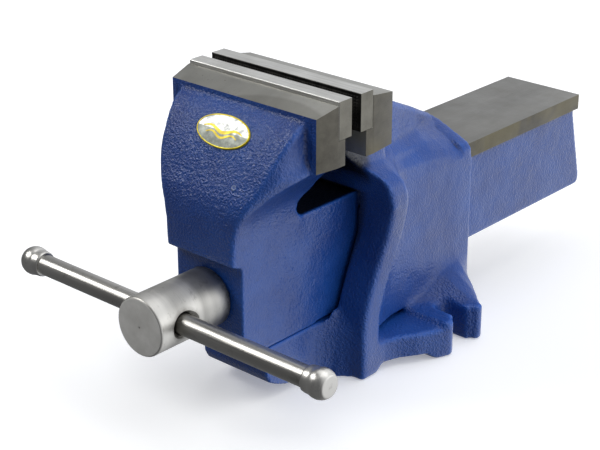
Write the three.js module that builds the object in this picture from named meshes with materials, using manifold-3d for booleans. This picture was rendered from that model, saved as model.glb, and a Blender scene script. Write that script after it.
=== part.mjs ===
// Bench vise: a fixed body on a slotted base, a sliding jaw that is one casting with its slide,
// a screw that turns in a fixed nut, and a tommy bar that slides through the screw's head.
// Millimetres, +Z up, +Y from the handle to the rear. The drawing datum is the fixed jaw plate's
// clamping face (y = 0) at the plate's top (z = 0). The finished part is moved to the middle of
// the base, at the height of its underside.
import * as THREE from 'three';
import { mergeVertices } from 'three/addons/utils/BufferGeometryUtils.js';
import Module from 'manifold-3d';

const wasm = await Module();
wasm.setup();

// ---- driving dimensions -------------------------------------------------------------------
const JAW_W = 150;              // width of the jaws
const JAW_HALF = JAW_W / 2;
const PLATE_T = 14;             // jaw plate thickness
const PLATE_H = 29.2;           // jaw plate height
const REST_GAP = 9.9;           // jaw opening at rest
const CLEAR = 0.3;              // gap left between pieces that touch on the real vise
const BLOCK_BOTTOM = -50;       // underside of both machined jaw blocks
const BASE_Z = -245;            // plane that the vise stands on
const ORIGIN_Y = 100;           // the frame's origin, behind the datum
const FLANGE_HALF = 39;         // half width of the slide's machined top
const FLANGE_TOP = -99.3;
const FLANGE_BOTTOM = -113;
const BOX_HALF = 34;            // half width of the slide below its flange
const BOX_BOTTOM = -192;
const SLIDE_END = 356;          // rear end of the slide
const WALL_HALF = 48;           // half width of the body's side walls
const BODY_BACK = 180;          // rear face of the body
const FLOOR_Z = -198;           // floor of the channel that the slide runs in
const AXIS_Z = -153.7;          // screw axis
const SCREW_R = 13.2;
const HEAD_R = 23.1;
const HEAD_FRONT = -155;
const HEAD_BACK = -83.3;
const SEAT_Y = -83;             // front of the sliding jaw round the screw
const WASHER_SEAT = -79.8;      // counterbored face that the screw's head pulls against
const BAR_Y = -130;             // tommy bar axis
const BAR_R = 8.1;
const KNOB_R = 11.4;
const KNOB_X = 147.6;           // centre of each knob, from the middle of the bar
const BAR_SHIFT = 3.2;          // how far the bar rests to the right

// ---- solids -------------------------------------------------------------------------------
const V = (x, y, z) => new THREE.Vector3(x, y, z);

function toSolid(geometry) {
  const g = geometry.clone();
  for (const name of Object.keys(g.attributes)) {
    if (name !== 'position') g.deleteAttribute(name);
  }
  const m = mergeVertices(g, 1e-4);
  const vertProperties = new Float32Array(m.attributes.position.array);
  const triVerts = new Uint32Array(m.index.array);
  return new wasm.Manifold(new wasm.Mesh({ numProp: 3, vertProperties, triVerts }));
}

function toGeometry(solid) {
  const mesh = solid.getMesh();
  const g = new THREE.BufferGeometry();
  g.setAttribute('position', new THREE.BufferAttribute(new Float32Array(mesh.vertProperties), 3));
  g.setIndex(new THREE.BufferAttribute(new Uint32Array(mesh.triVerts), 1));
  const flat = g.toNonIndexed();
  flat.computeVertexNormals();
  return flat;
}

const union = (...solids) => solids.reduce((a, b) => a.add(b));
const cut = (solid, ...tools) => tools.reduce((a, b) => a.subtract(b), solid);

function shapeOf(points) {
  return new THREE.Shape(points.map(([u, v]) => new THREE.Vector2(u, v)));
}

function extrude(points, depth, segments = 1) {
  return new THREE.ExtrudeGeometry(shapeOf(points), { depth, bevelEnabled: false, steps: segments });
}

// A prism along X of an outline in (y, z).
function prismX(points, x0, x1) {
  const g = extrude(points, x1 - x0);
  g.applyMatrix4(new THREE.Matrix4().makeBasis(V(0, 1, 0), V(0, 0, 1), V(1, 0, 0)));
  return toSolid(g.translate(x0, 0, 0));
}

// A prism along Y of an outline in (x, z).
function prismY(points, y0, y1) {
  const g = extrude(points.map(([x, z]) => [-x, z]), y1 - y0);
  g.applyMatrix4(new THREE.Matrix4().makeBasis(V(-1, 0, 0), V(0, 0, 1), V(0, 1, 0)));
  return toSolid(g.translate(0, y0, 0));
}

// A prism along Z of an outline in (x, y).
function prismZ(points, z0, z1) {
  return toSolid(extrude(points, z1 - z0).translate(0, 0, z0));
}

function box(x0, x1, y0, y1, z0, z1) {
  const g = new THREE.BoxGeometry(x1 - x0, y1 - y0, z1 - z0);
  return toSolid(g.translate((x0 + x1) / 2, (y0 + y1) / 2, (z0 + z1) / 2));
}

// A skin over rings of points, closed by a fan at each end.
function loft(rings) {
  const n = rings[0].length;
  const position = [];
  const index = [];
  const middle = (ring) => {
    const sum = ring.reduce((a, p) => [a[0] + p[0], a[1] + p[1], a[2] + p[2]], [0, 0, 0]);
    return sum.map((c) => c / ring.length);
  };
  rings.forEach((ring) => ring.forEach((p) => position.push(...p)));
  const first = rings.length * n;
  position.push(...middle(rings[0]), ...middle(rings[rings.length - 1]));
  for (let k = 0; k + 1 < rings.length; k += 1) {
    for (let i = 0; i < n; i += 1) {
      const a = k * n + i;
      const b = k * n + ((i + 1) % n);
      index.push(a, b, b + n, a, b + n, a + n);
    }
  }
  const last = (rings.length - 1) * n;
  for (let i = 0; i < n; i += 1) {
    index.push(first, (i + 1) % n, i);
    index.push(first + 1, last + i, last + ((i + 1) % n));
  }
  const g = new THREE.BufferGeometry();
  g.setAttribute('position', new THREE.BufferAttribute(new Float32Array(position), 3));
  g.setIndex(index);
  const solid = toSolid(g);
  return solid.volume() > 0 ? solid : toSolid(flipped(g));
}

function flipped(geometry) {
  const index = Array.from(geometry.index.array);
  for (let i = 0; i < index.length; i += 3) {
    [index[i + 1], index[i + 2]] = [index[i + 2], index[i + 1]];
  }
  geometry.setIndex(index);
  return geometry;
}

// A right-hand half outline, from its middle at the start round to its middle at the end, made whole.
function mirrored(half) {
  const left = half.filter(([x]) => x > 1e-6).map(([x, ...rest]) => [-x, ...rest]);
  return [...half, ...left.reverse()];
}

// A body turned about an axis through (x, y, z); the profile is (radius, place along the axis).
function turned(profile, axis, x, y, z, segments = 40) {
  const points = profile.map(([r, t]) => new THREE.Vector2(r, t));
  const g = new THREE.LatheGeometry(points, segments);
  if (axis === 'y') g.applyMatrix4(new THREE.Matrix4().makeBasis(V(1, 0, 0), V(0, 1, 0), V(0, 0, 1)));
  if (axis === 'x') g.applyMatrix4(new THREE.Matrix4().makeBasis(V(0, 0, 1), V(1, 0, 0), V(0, 1, 0)));
  if (axis === 'z') g.applyMatrix4(new THREE.Matrix4().makeBasis(V(0, 1, 0), V(0, 0, 1), V(1, 0, 0)));
  const solid = toSolid(g.translate(x, y, z));
  return solid.volume() > 0 ? solid : toSolid(flipped(mergeVertices(stripped(g), 1e-4)));
}

function stripped(geometry) {
  const g = geometry.clone();
  for (const name of Object.keys(g.attributes)) {
    if (name !== 'position') g.deleteAttribute(name);
  }
  return g;
}

const rod = (axis, r, t0, t1, x, y, z, segments = 32) =>
  turned([[0, t0], [r, t0], [r, t1], [0, t1]], axis, x, y, z, segments);

// ---- materials ----------------------------------------------------------------------------
const finish = (color, roughness, metalness) =>
  new THREE.MeshStandardMaterial({ color, roughness, metalness });
const PAINT = finish(0x24479c, 0.42, 0.1);
const MACHINED = finish(0x8f8d85, 0.38, 0.85);
const STEEL = finish(0xb4b2ab, 0.28, 0.95);
const DARK_STEEL = finish(0x4a4a4a, 0.5, 0.8);
const BRONZE = finish(0x9a7a45, 0.4, 0.85);
const LABEL = finish(0xd8c83a, 0.3, 0.6);

const group = new THREE.Group();
group.name = 'bench_vise';

function add(name, solid, material) {
  const g = toGeometry(solid);
  g.translate(0, -ORIGIN_Y, -BASE_Z);
  const mesh = new THREE.Mesh(g, material);
  mesh.name = name;
  group.add(mesh);
}

// ---- sliding jaw --------------------------------------------------------------------------
const MOVING_FACE = -REST_GAP;                 // the sliding plate's clamping face
const MOVING_SEAT = MOVING_FACE - PLATE_T;     // back of the sliding plate
const FRONT_TOP_Y = -45.5;                     // front edge of the sliding jaw's sloping top
const FREE_HALF = 72;                          // the blocks narrow to this away from the plates

function jawBlock(seat, face, out, top) {
  // seat is the recess for the plate, face the step under it, out the free side of the block.
  const dir = Math.sign(out - seat);
  const back = seat + dir * CLEAR;
  const side = prismX([
    [face, BLOCK_BOTTOM], [face, -PLATE_H - CLEAR], [back, -PLATE_H - CLEAR], [back, top[0]],
    [out, top[1]], [out, BLOCK_BOTTOM - 1],
  ], -JAW_HALF, JAW_HALF);
  const taper = prismZ(mirrored([
    [0, face], [JAW_HALF, face], [JAW_HALF, seat + dir * 2], [FREE_HALF, out], [0, out],
  ]), -80, 10);
  return side.intersect(taper);
}

// Front of the jaw: height, front y, half width of the bulge, half width outside and its y.
const FRONT = [
  [-13.2, -46.2, 61.6, 61.3, -45.6],
  [-14.4, -48.6, 62.3, 61.4, -45.7],
  [-16.3, -51.8, 62.5, 61.4, -45.9],
  [-20.2, -56.8, 62.0, 61.5, -46.1],
  [-25.6, -62.1, 59.9, 61.6, -46.3],
  [-32.0, -67.1, 58.1, 61.7, -46.5],
  [-41.0, -73.2, 55.5, 62.1, -47.1],
  [-50.0, -78.4, 52.4, 67.5, -47.8],
  [-53.5, -80.2, 51.2, 64.5, -55.0],
  [-61.5, -84.4, 47.4, 56.0, -69.4],
  [-69.5, -88.6, 43.6, 48.8, -78.0],
  [-77.0, -91.3, 40.0, 43.0, -84.0],
  [-85.0, -93.0, 36.0, 38.5, -88.6],
  [-96.0, -93.8, 33.0, 35.4, -91.4],
  [-118.0, -94.2, 31.6, BOX_HALF, -92.4],
];
const JAW_BACK = -18;

function frontRing([z, yMid, xIn, xOut, yOut]) {
  const bow = (xIn + xOut) / 2;
  const yBow = yMid * 0.72 + yOut * 0.28;
  const xBack = z > BLOCK_BOTTOM ? JAW_HALF - 0.6 : xOut;
  return mirrored([
    [0, JAW_BACK, z], [xBack, JAW_BACK, z], [xOut, yOut, z], [bow, yBow, z], [xIn, yMid + 1, z],
    [xIn * 0.72, yMid, z], [0, yMid, z],
  ]);
}

function movingJaw() {
  const block = jawBlock(MOVING_SEAT, MOVING_FACE - 7, FRONT_TOP_Y, [-2.8, -8.2]);
  const recess = box(-JAW_HALF - 1, JAW_HALF + 1, MOVING_SEAT - CLEAR, 5, -PLATE_H - CLEAR, 5);
  const hollow = union(rod('x', 12, -90, 90, 0, -13.5, -88.6, 40), box(-90, 90, -13.5, 5, -100.6, -76.6));
  const upper = cut(loft(FRONT.map(frontRing)), recess, hollow);
  const lower = box(-BOX_HALF, BOX_HALF, SEAT_Y, 0, -197.4, -118);
  const foot = box(-BOX_HALF, BOX_HALF, -20, 62, -196.2, -180);
  const lip = prismX([[-94.2, -118.1], [SEAT_Y, -122.5], [SEAT_Y + 9, -122.5], [SEAT_Y + 9, -117]],
    -BOX_HALF, BOX_HALF);
  const neck = box(-BOX_HALF, BOX_HALF, -60, 52, -160, -100.3);
  const slideBox = prismX([
    [-20, BOX_BOTTOM], [SLIDE_END + 13, BOX_BOTTOM], [SLIDE_END + 17, BOX_BOTTOM + 4],
    [SLIDE_END + 17, BOX_BOTTOM + 9], [SLIDE_END, FLANGE_BOTTOM - 3], [SLIDE_END, FLANGE_BOTTOM + 2],
    [-20, FLANGE_BOTTOM + 2],
  ], -BOX_HALF, BOX_HALF);
  const flange = box(-FLANGE_HALF, FLANGE_HALF, 50, SLIDE_END, FLANGE_BOTTOM, FLANGE_TOP);
  const channel = box(-25, 25, -50, SLIDE_END + 40, -220, -118);
  const bore = union(rod('y', SCREW_R + 0.8, -120, -20, 0, 0, AXIS_Z),
    rod('y', 18.6, -120, WASHER_SEAT, 0, 0, AXIS_Z));
  return cut(union(block, upper, lower, foot, lip, neck, slideBox, flange), channel, bore);
}

// ---- fixed body ---------------------------------------------------------------------------
// Front wall: height, front y, half width.
const WALL = [
  [BASE_Z, 18, 67], [-206, 18, 67], [-194, 19, 67], [-180, 23, 67], [-164, 29, 67], [-146, 37, 67.4],
  [-132, 43, 68], [-118, 44, 70.5], [-103, 43, 73.5], [-93, 40.5, 74], [-85, 38, 71.5], [-79, 35, 66.5],
  [-74.5, 31, 59.5], [-71.5, 27.5, 52],
];
const WALL_T = 22;
const MOUTH_HALF = 37;          // half width of the front mouth below the flange

function wallRing([z, yFront, x]) {
  const yBack = yFront + WALL_T;
  return mirrored([
    [0, yFront, z], [x - 3, yFront, z], [x - 0.9, yFront + 0.9, z], [x, yFront + 3, z],
    [x, yBack - 3, z], [x - 3, yBack, z], [WALL_HALF + 5, yBack + 2, z], [WALL_HALF + 1, yBack + 6, z],
    [WALL_HALF - 1, yBack + 14, z], [0, yBack + 14, z],
  ]);
}

// Shell behind it: y, side x low down, side x at the shoulder, rib half width, rib foot z, rib top z,
// and the drop of the shoulder.
const SHELL = [
  [29, 56, 74, 47, -68, -15, 8], [50, 54.5, 74, 43, -70, -21, 8], [60, 52.5, 70, 40, -71.5, -25, 8],
  [70, 50, 57, 37.5, -72.5, -29, 8], [80, 48.5, 50, 36, -73.5, -33.5, 8], [92, 48, 48, 34, -75, -39, 8],
  [130, 48, 48, 26, -77, -56, 9], [158, 48, 48, 18, -82, -69.5, 10], [168, 48, 48, 15.5, -85, -74, 11],
];

function shellRing([y, low, side, rib, foot, top, drop]) {
  const mid = (rib + side) / 2;
  return mirrored([
    [0, y, BASE_Z + 30], [low, y, BASE_Z + 30], [low, y, -123], [side, y, -104],
    [side - 1.2, y, foot - drop - 9], [side - 5, y, foot - drop - 3], [mid, y, foot - drop * 0.55],
    [rib + 2.5, y, foot], [rib, y, foot + 4], [rib - 0.8, y, top - 2.5], [rib - 4, y, top],
    [0, y, top + 0.4],
  ]);
}

// Everything ahead of the leaning front wall.
function aheadOfWall() {
  const edge = WALL.map(([z, y]) => [y, z]);
  return prismX([[-90, BASE_Z - 1], ...edge, [-90, -75]], -90, 90);
}

function rearRim() {
  return prismY(mirrored([
    [0, BASE_Z + 20], [WALL_HALF, BASE_Z + 20], [WALL_HALF, -106], [46.8, -99.5], [43, -94.6],
    [36, -91.2], [28, -88], [13, -81.5], [0, -78.6],
  ]), 169, BODY_BACK);
}

const LUG_TOP = BASE_Z + 30;
const PLATE_TOP = BASE_Z + 25.5;
const SLOT_Y = 120.5;
const SLOT_R = 9;
const LUG_X = 92.5;

function arc(cx, cy, r, from, to, steps) {
  return Array.from({ length: steps + 1 }, (_, i) => {
    const a = THREE.MathUtils.degToRad(from + ((to - from) * i) / steps);
    return [cx + r * Math.cos(a), cy + r * Math.sin(a)];
  });
}

// The slope from the side wall down to the rear of a lug: y, height at the wall, reach in x.
const FLARE = [
  [106, -216, 49], [116, -211, 54], [130, -203, 72], [141, -196, 84], [152, -191.5, 77],
  [163, -188.5, 66.5], [172, -187, 55.5], [179.8, -186, WALL_HALF],
];

function flare(side) {
  return loft(FLARE.map(([y, top, reach]) => [
    [side * 46, y, BASE_Z + 10], [side * 46, y, top], [side * reach, y, LUG_TOP + 1],
    [side * reach, y, BASE_Z + 10],
  ]));
}

function basePlate() {
  const front = mirrored([
    [0, 18], [64, 18], [66.1, 18.9], [67, 21], [67, 45], [71, 57], [80, 71], [LUG_X - 3.5, 90], [LUG_X, 100], [70, 104],
    [0, 104],
  ]);
  const finger = arc(LUG_X - 6, 99, 6, -60, 60, 4);
  const lug = mirrored([
    [0, 95], [82, 95], ...finger, [LUG_X - 7, SLOT_Y - SLOT_R - 4], [LUG_X - 7, SLOT_Y + SLOT_R + 3],
    ...arc(LUG_X - 5, 139, 5, -70, 90, 5), [60, 170], [44, BODY_BACK], [0, BODY_BACK],
  ]);
  const slot = (side) => {
    const round = arc(70, SLOT_Y, SLOT_R, 90, 270, 10);
    const outline = [...round, [LUG_X - 10, SLOT_Y - SLOT_R], [LUG_X + 20, SLOT_Y - SLOT_R - 8],
      [LUG_X + 20, SLOT_Y + SLOT_R + 8], [LUG_X - 10, SLOT_Y + SLOT_R]];
    return prismZ(outline.map(([x, y]) => [side * x, y]), BASE_Z - 5, LUG_TOP + 40);
  };
  const plate = union(prismZ(front, BASE_Z, PLATE_TOP), prismZ(lug, BASE_Z, LUG_TOP), flare(1), flare(-1));
  return cut(plate, slot(1), slot(-1));
}

function nose() {
  return prismX([
    [-57, FLOOR_Z], [-58, -204], [-57.5, -222], [-54, -229], [-46, -233.5], [-34, -238], [12, -244],
    [20, BASE_Z], [60, BASE_Z], [60, FLOOR_Z],
  ], -BOX_HALF, BOX_HALF);
}

// The hollow curve that runs from the side of the nose out to the front wall.
function cheek(side) {
  const rings = [[BASE_Z, 30, 0], [-206, 30, 0], [-199.5, 27, 0], [-195, 17, 3], [-190, 6, 5]];
  return loft(rings.map(([z, r, out]) => {
    const x0 = BOX_HALF + out;
    const yWall = z < -200 ? 18.3 : 20.5;
    const curve = arc(x0 + r, yWall - r, r, 180, 90, 6).map(([x, y]) => [side * x, y, z]);
    return [[side * (x0 - 3), yWall - r, z], ...curve, [side * (x0 + r), yWall + 8, z],
      [side * (x0 - 3), yWall + 8, z]];
  }));
}

function fixedBody() {
  const block = jawBlock(PLATE_T, 6.6, 40.5, [-4.4, -8.8]);
  const wall = loft(WALL.map(wallRing));
  const shell = cut(loft(SHELL.map(shellRing)), aheadOfWall());
  const throat = prismX([[8, BLOCK_BOTTOM + 1], [12, -57], [22, -66], [34, -75], [60, -75], [60, -30],
    [30, -20], [30, BLOCK_BOTTOM + 1]], -52, 52);
  let solid = union(block, wall, shell, throat, rearRim(), basePlate(), nose(), cheek(1), cheek(-1));
  const gap = 0.4;
  const front = box(-MOUTH_HALF, MOUTH_HALF, -30, 62, FLOOR_Z, FLANGE_BOTTOM);
  const way = box(-FLANGE_HALF - gap, FLANGE_HALF + gap, -10, 220, FLANGE_BOTTOM - gap, FLANGE_TOP + gap);
  const trough = box(-BOX_HALF - gap, BOX_HALF + gap, 40, 220, FLOOR_Z, FLANGE_TOP);
  const hollows = [[34, 58], [112, 166]].map(([y0, y1]) => box(-34, 34, y0, y1, BASE_Z - 5, FLOOR_Z - 13));
  const relief = [-1, 1].map((side) => {
    const x = [30, 120].map((v) => v * side).sort((a, b) => a - b);
    return prismX([[36, BASE_Z - 5], [36, BASE_Z], [44, BASE_Z + 6], [79, BASE_Z + 6], [86, BASE_Z],
      [86, BASE_Z - 5]], ...x);
  });
  solid = cut(solid, front, way, trough, ...hollows, ...relief);
  const boltHole = rod('z', 7, BASE_Z - 5, FLOOR_Z + 20, 0, 80, 0, 24);
  const boltSeat = rod('z', 15, BASE_Z - 5, BASE_Z + 16, 0, 80, 0, 24);
  return cut(solid, boltHole, boltSeat);
}

// ---- jaw plates and their screws ----------------------------------------------------------
const PLATE_SCREW_X = 45;
const PLATE_SCREW_Z = -15;

function jawPlate(y0) {
  const c = 0.8;
  const y1 = y0 + PLATE_T;
  const outline = [[y0 + c, 0], [y0, -c], [y0, -PLATE_H + c], [y0 + c, -PLATE_H], [y1 - c, -PLATE_H],
    [y1, -PLATE_H + c], [y1, -c], [y1 - c, 0]];
  return prismX(outline, -JAW_HALF, JAW_HALF);
}

function plateScrew(x, face, dir) {
  // The head's cone is sunk in the plate, and the shank reaches into the block behind it.
  const t = (d) => face + dir * d;
  const profile = [[0, 0.4], [8.2, 0.4], [8.2, 2], [5, 6], [5, 26], [0, 26]].map(([r, d]) => [r, t(d)]);
  return cut(turned(profile, 'y', x, 0, PLATE_SCREW_Z, 24), hexPrism(x, t(0), t(4.5)));
}

function hexPrism(x, y0, y1) {
  const outline = arc(0, 0, 3.4, 0, 300, 5).map(([u, v]) => [x + u, PLATE_SCREW_Z + v]);
  return prismY(outline, Math.min(y0, y1), Math.max(y0, y1));
}

function screwSpace(x, face, dir) {
  const t = (d) => face + dir * d;
  const profile = [[0, -1], [8.5, -1], [8.5, 2.1], [5.3, 6.1], [5.3, 26.4], [0, 26.4]];
  return turned(profile.map(([r, d]) => [r, t(d)]), 'y', x, 0, PLATE_SCREW_Z, 24);
}

// ---- screw, its head, and what holds it in the sliding jaw ----------------------------------
function screwHead() {
  const profile = [[0, HEAD_FRONT], [20.8, HEAD_FRONT], [22.4, HEAD_FRONT + 0.6], [HEAD_R, HEAD_FRONT + 2.2],
    [HEAD_R, HEAD_BACK - 3], [22.5, HEAD_BACK - 1], [21, HEAD_BACK], [0, HEAD_BACK]];
  const solid = turned(profile, 'y', 0, 0, AXIS_Z, 48);
  const barHole = rod('x', BAR_R + 0.9, -40, 40, 0, BAR_Y, AXIS_Z);
  const socket = rod('y', 10.3, -118.5, HEAD_BACK + 5, 0, 0, AXIS_Z);
  return cut(solid, barHole, socket, pinSolid(3.3));
}

function mainScrew() {
  const profile = [[0, -118], [10, -118], [10, HEAD_BACK + 0.5], [SCREW_R, HEAD_BACK + 1], [SCREW_R, 316],
    [10.5, 320], [0, 320]];
  return cut(turned(profile, 'y', 0, 0, AXIS_Z, 32), pinSolid(3.3), collarPinSolid(2.6));
}

function pinSolid(r) {
  const a = THREE.MathUtils.degToRad(28);
  const g = new THREE.CylinderGeometry(r, r, 2 * HEAD_R - 0.6, 20);
  g.applyMatrix4(new THREE.Matrix4().makeRotationZ(-Math.PI / 2 + a));
  g.applyMatrix4(new THREE.Matrix4().makeRotationX(Math.PI / 2));
  return toSolid(g.translate(0, -104, AXIS_Z));
}

function collarPinSolid(r) {
  return rod('z', r, AXIS_Z - 18, AXIS_Z + 18, 0, -17, 0, 16);
}

function ring(rIn, rOut, y0, y1, segments = 32) {
  return turned([[rIn, y0], [rOut, y0], [rOut, y1], [rIn, y1], [rIn, y0]], 'y', 0, 0, AXIS_Z, segments);
}

function retainingCollar() {
  return cut(ring(SCREW_R + CLEAR, 20.5, -24, -10), collarPinSolid(2.9));
}

function takeUpSpring() {
  const turns = 3.5;
  const from = -46.6;
  const to = -27;
  const rCoil = 17.6;
  class Coil extends THREE.Curve {
    getPoint(t, target = new THREE.Vector3()) {
      const a = 2 * Math.PI * turns * t;
      return target.set(rCoil * Math.cos(a), from + (to - from) * t, AXIS_Z + rCoil * Math.sin(a));
    }
  }
  const wire = shapeOf(arc(0, 0, 1.7, 0, 315, 7));
  return toSolid(new THREE.ExtrudeGeometry(wire, { steps: 56, extrudePath: new Coil(), bevelEnabled: false }));
}

// ---- nut ----------------------------------------------------------------------------------
function mainNut() {
  const outline = [[-20, FLOOR_Z + CLEAR], [20, FLOOR_Z + CLEAR], [20, -152], [17, -139],
    [9, -133.5], [-9, -133.5], [-17, -139], [-20, -152]];
  const bore = rod('y', SCREW_R + 0.7, 40, 120, 0, 0, AXIS_Z);
  const tap = rod('z', 7, FLOOR_Z - 1, FLOOR_Z + 18, 0, 80, 0, 24);
  return cut(prismY(outline, 55, 105), bore, tap);
}

function nutBolt() {
  const head = prismZ(arc(0, 80, 11, 30, 330, 5), BASE_Z + 2, BASE_Z + 12);
  return head.add(rod('z', 6.6, BASE_Z + 11, FLOOR_Z + 17, 0, 80, 0, 24));
}

function nutBoltWasher() {
  const profile = [[7.2, BASE_Z + 12.4], [13.5, BASE_Z + 12.4], [13.5, BASE_Z + 15.6],
    [7.2, BASE_Z + 15.6], [7.2, BASE_Z + 12.4]];
  return turned(profile, 'z', 0, 80, 0, 24);
}

// ---- tommy bar ----------------------------------------------------------------------------
function tommyBar() {
  return rod('x', BAR_R, -KNOB_X - 3, KNOB_X + 3, BAR_SHIFT, BAR_Y, AXIS_Z, 32);
}

function barKnob(side) {
  // A ball with its outer end ground flat and a short collar on the bar side.
  const flat = 8.2;
  const toFlat = THREE.MathUtils.radToDeg(Math.asin(flat / KNOB_R));
  const profile = [[0, -11.5], [9.4, -11.5], [10, -10.6], [10.3, -7.5], ...arc(0, 0, KNOB_R, -25, toFlat, 8),
    [0, flat]];
  const knob = turned(profile.map(([r, t]) => [r, side * t]), 'x', side * KNOB_X + BAR_SHIFT,
    BAR_Y, AXIS_Z, 36);
  const reach = side > 0 ? [-20, 3.3] : [-3.3, 20];
  return cut(knob, rod('x', BAR_R + CLEAR, ...reach, side * KNOB_X + BAR_SHIFT, BAR_Y, AXIS_Z, 32));
}

// ---- badge --------------------------------------------------------------------------------
// A thin oval, its back cut to the curve of the face behind it.
function badge(face) {
  const outline = arc(0, 0, 1, 0, 350, 35).map(([u, v]) => [25.8 * u, 13 * v]);
  const g = extrude(outline, 4.4);
  const tilt = Math.atan2(73.2 - 56.8, 41 - 20.2);
  g.translate(0, 0, -3).rotateX(Math.PI / 2 - tilt);
  return cut(toSolid(g.translate(0, -65.1, -28.8)), face.translate([0, -CLEAR, 0]));
}

// ---- assembly -----------------------------------------------------------------------------
const sides = [['left', -1], ['right', 1]];
let fixedCasting = fixedBody();
let slidingCasting = movingJaw();
let fixedPlate = jawPlate(0);
let slidingPlate = jawPlate(MOVING_SEAT);
for (const [name, side] of sides) {
  const x = side * PLATE_SCREW_X;
  fixedCasting = cut(fixedCasting, screwSpace(x, 0, 1));
  fixedPlate = cut(fixedPlate, screwSpace(x, 0, 1));
  slidingCasting = cut(slidingCasting, screwSpace(x, MOVING_FACE, -1));
  slidingPlate = cut(slidingPlate, screwSpace(x, MOVING_FACE, -1));
  add(`fixed_plate_screw_${name}`, plateScrew(x, 0, 1), DARK_STEEL);
  add(`sliding_plate_screw_${name}`, plateScrew(x, MOVING_FACE, -1), DARK_STEEL);
  add(`bar_knob_${name}`, barKnob(side), STEEL);
}
add('fixed_body', fixedCasting, PAINT);
add('sliding_jaw', slidingCasting, PAINT);
add('fixed_jaw_plate', fixedPlate, MACHINED);
add('sliding_jaw_plate', slidingPlate, MACHINED);
add('maker_badge', badge(slidingCasting), LABEL);
add('main_screw', mainScrew(), STEEL);
add('screw_head', screwHead(), STEEL);
add('head_pin', pinSolid(3), DARK_STEEL);
add('thrust_washer', ring(SCREW_R + CLEAR, 18, HEAD_BACK + CLEAR, WASHER_SEAT - CLEAR), DARK_STEEL);
add('spring_washer', ring(SCREW_R + CLEAR, 20.5, -49.6, -48.4), DARK_STEEL);
add('take_up_spring', takeUpSpring(), DARK_STEEL);
add('retaining_collar', retainingCollar(), STEEL);
add('collar_pin', collarPinSolid(2.3), DARK_STEEL);
add('main_nut', mainNut(), BRONZE);
add('nut_bolt', nutBolt(), DARK_STEEL);
add('nut_bolt_washer', nutBoltWasher(), DARK_STEEL);
add('tommy_bar', tommyBar(), STEEL);

export default group;
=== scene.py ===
"""Looks of a bench vise: cast and painted bodies with machined blocks, steel plates, screw and bar.

Lengths are in millimetres from the fixed jaw plate's top clamping edge until at() or to_frame()
turns them into the frame's metres: y is back, z is up.
"""
import math

import bmesh
import bpy
import numpy as np
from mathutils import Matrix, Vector


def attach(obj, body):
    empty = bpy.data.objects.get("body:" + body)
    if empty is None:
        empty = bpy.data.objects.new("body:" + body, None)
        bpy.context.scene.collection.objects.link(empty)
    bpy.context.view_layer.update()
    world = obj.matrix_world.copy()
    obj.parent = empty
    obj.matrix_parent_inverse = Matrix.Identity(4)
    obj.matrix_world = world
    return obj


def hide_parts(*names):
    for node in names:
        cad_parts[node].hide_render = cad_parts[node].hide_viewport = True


MM = 0.001
SHIFT = np.array([0.0, -100.0, 245.0])      # from the datum edge to the frame's origin

JAW_HALF = 75.0
FREE_HALF = 72.0                            # the blocks' half width away from the plates
PLATE_T = 14.0
PLATE_H = 29.2
REST_GAP = 9.9
BLOCK_BOTTOM = -50.0
FLANGE_HALF = 39.0
FLANGE_TOP = -99.3
FLANGE_BOTTOM = -113.0
SLIDE_END = 356.0
AXIS_Z = -153.7
SCREW_R = 13.2
PITCH = 6.35
HEAD_R = 23.1
HEAD_FRONT = -155.0
HEAD_BACK = -83.3
BAR_Y = -130.0
BAR_R = 8.1
KNOB_R = 11.4
KNOB_X = 147.6
BAR_SHIFT = 3.2                             # the bar rests a little to the right
PLATE_SCREW_X = 45.0
PLATE_SCREW_Z = -15.0

SEAT_GAP = 0.3                              # between a plate and the block behind it
FIXED_FACE, FIXED_FREE = 6.6, 40.5          # the fixed block under its plate, and its free side
FIXED_TOPS = (-4.4, -8.8)                   # its height at the plate and at the free side
SLIDING_FACE, SLIDING_FREE = -16.9, -45.5
SLIDING_TOPS = (-2.8, -8.2)
FIXED_SEAT = 14.3                           # where each block's recess for its plate ends
SLIDING_SEAT = -24.2
RECESS_TOP = -29.5
TUCK = 1.3                                  # how deep a casting lies under its machined parts
TUCK_HALF = 70.6

# Boxes round the machined parts, where the castings keep their shape
FIXED_BLOCK = ((-75, 6.6, -50), (75, 40.5, -4))
SLIDING_BLOCK = ((-75, -45.5, -50), (75, -17, -3))
KEEP_NEAR, KEEP_FADE = 1.5, 6               # full hold up to here, then fading over this distance
LEAST_SOFT = 0.06

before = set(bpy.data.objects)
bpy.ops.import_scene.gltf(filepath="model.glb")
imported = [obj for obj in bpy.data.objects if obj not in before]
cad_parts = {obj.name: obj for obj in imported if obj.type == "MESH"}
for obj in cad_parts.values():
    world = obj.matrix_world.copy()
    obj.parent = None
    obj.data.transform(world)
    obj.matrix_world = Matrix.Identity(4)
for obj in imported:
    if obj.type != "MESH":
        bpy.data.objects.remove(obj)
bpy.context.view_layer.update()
scene = bpy.context.scene


# ---- geometry helpers --------------------------------------------------------------------------
def at(x, y, z):
    """A point of the datum frame, in the part's frame."""
    return Vector((x + SHIFT[0], y + SHIFT[1], z + SHIFT[2])) * MM


def new_object(name, mesh):
    obj = bpy.data.objects.new(name, mesh)
    scene.collection.objects.link(obj)
    return obj


def mesh_object(name, verts, faces):
    """An object from datum-frame points and faces, with its normals facing outwards."""
    mesh = bpy.data.meshes.new(name)
    mesh.from_pydata([at(*v) for v in verts], [], faces)
    bm = bmesh.new()
    bm.from_mesh(mesh)
    bmesh.ops.remove_doubles(bm, verts=bm.verts, dist=1e-6)
    bmesh.ops.recalc_face_normals(bm, faces=bm.faces)
    bm.to_mesh(mesh)
    bm.free()
    return new_object(name, mesh)


def smooth_shade(obj, angle):
    obj.data.shade_smooth()
    obj.data.set_sharp_from_angle(angle=math.radians(angle))
    return obj


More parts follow.
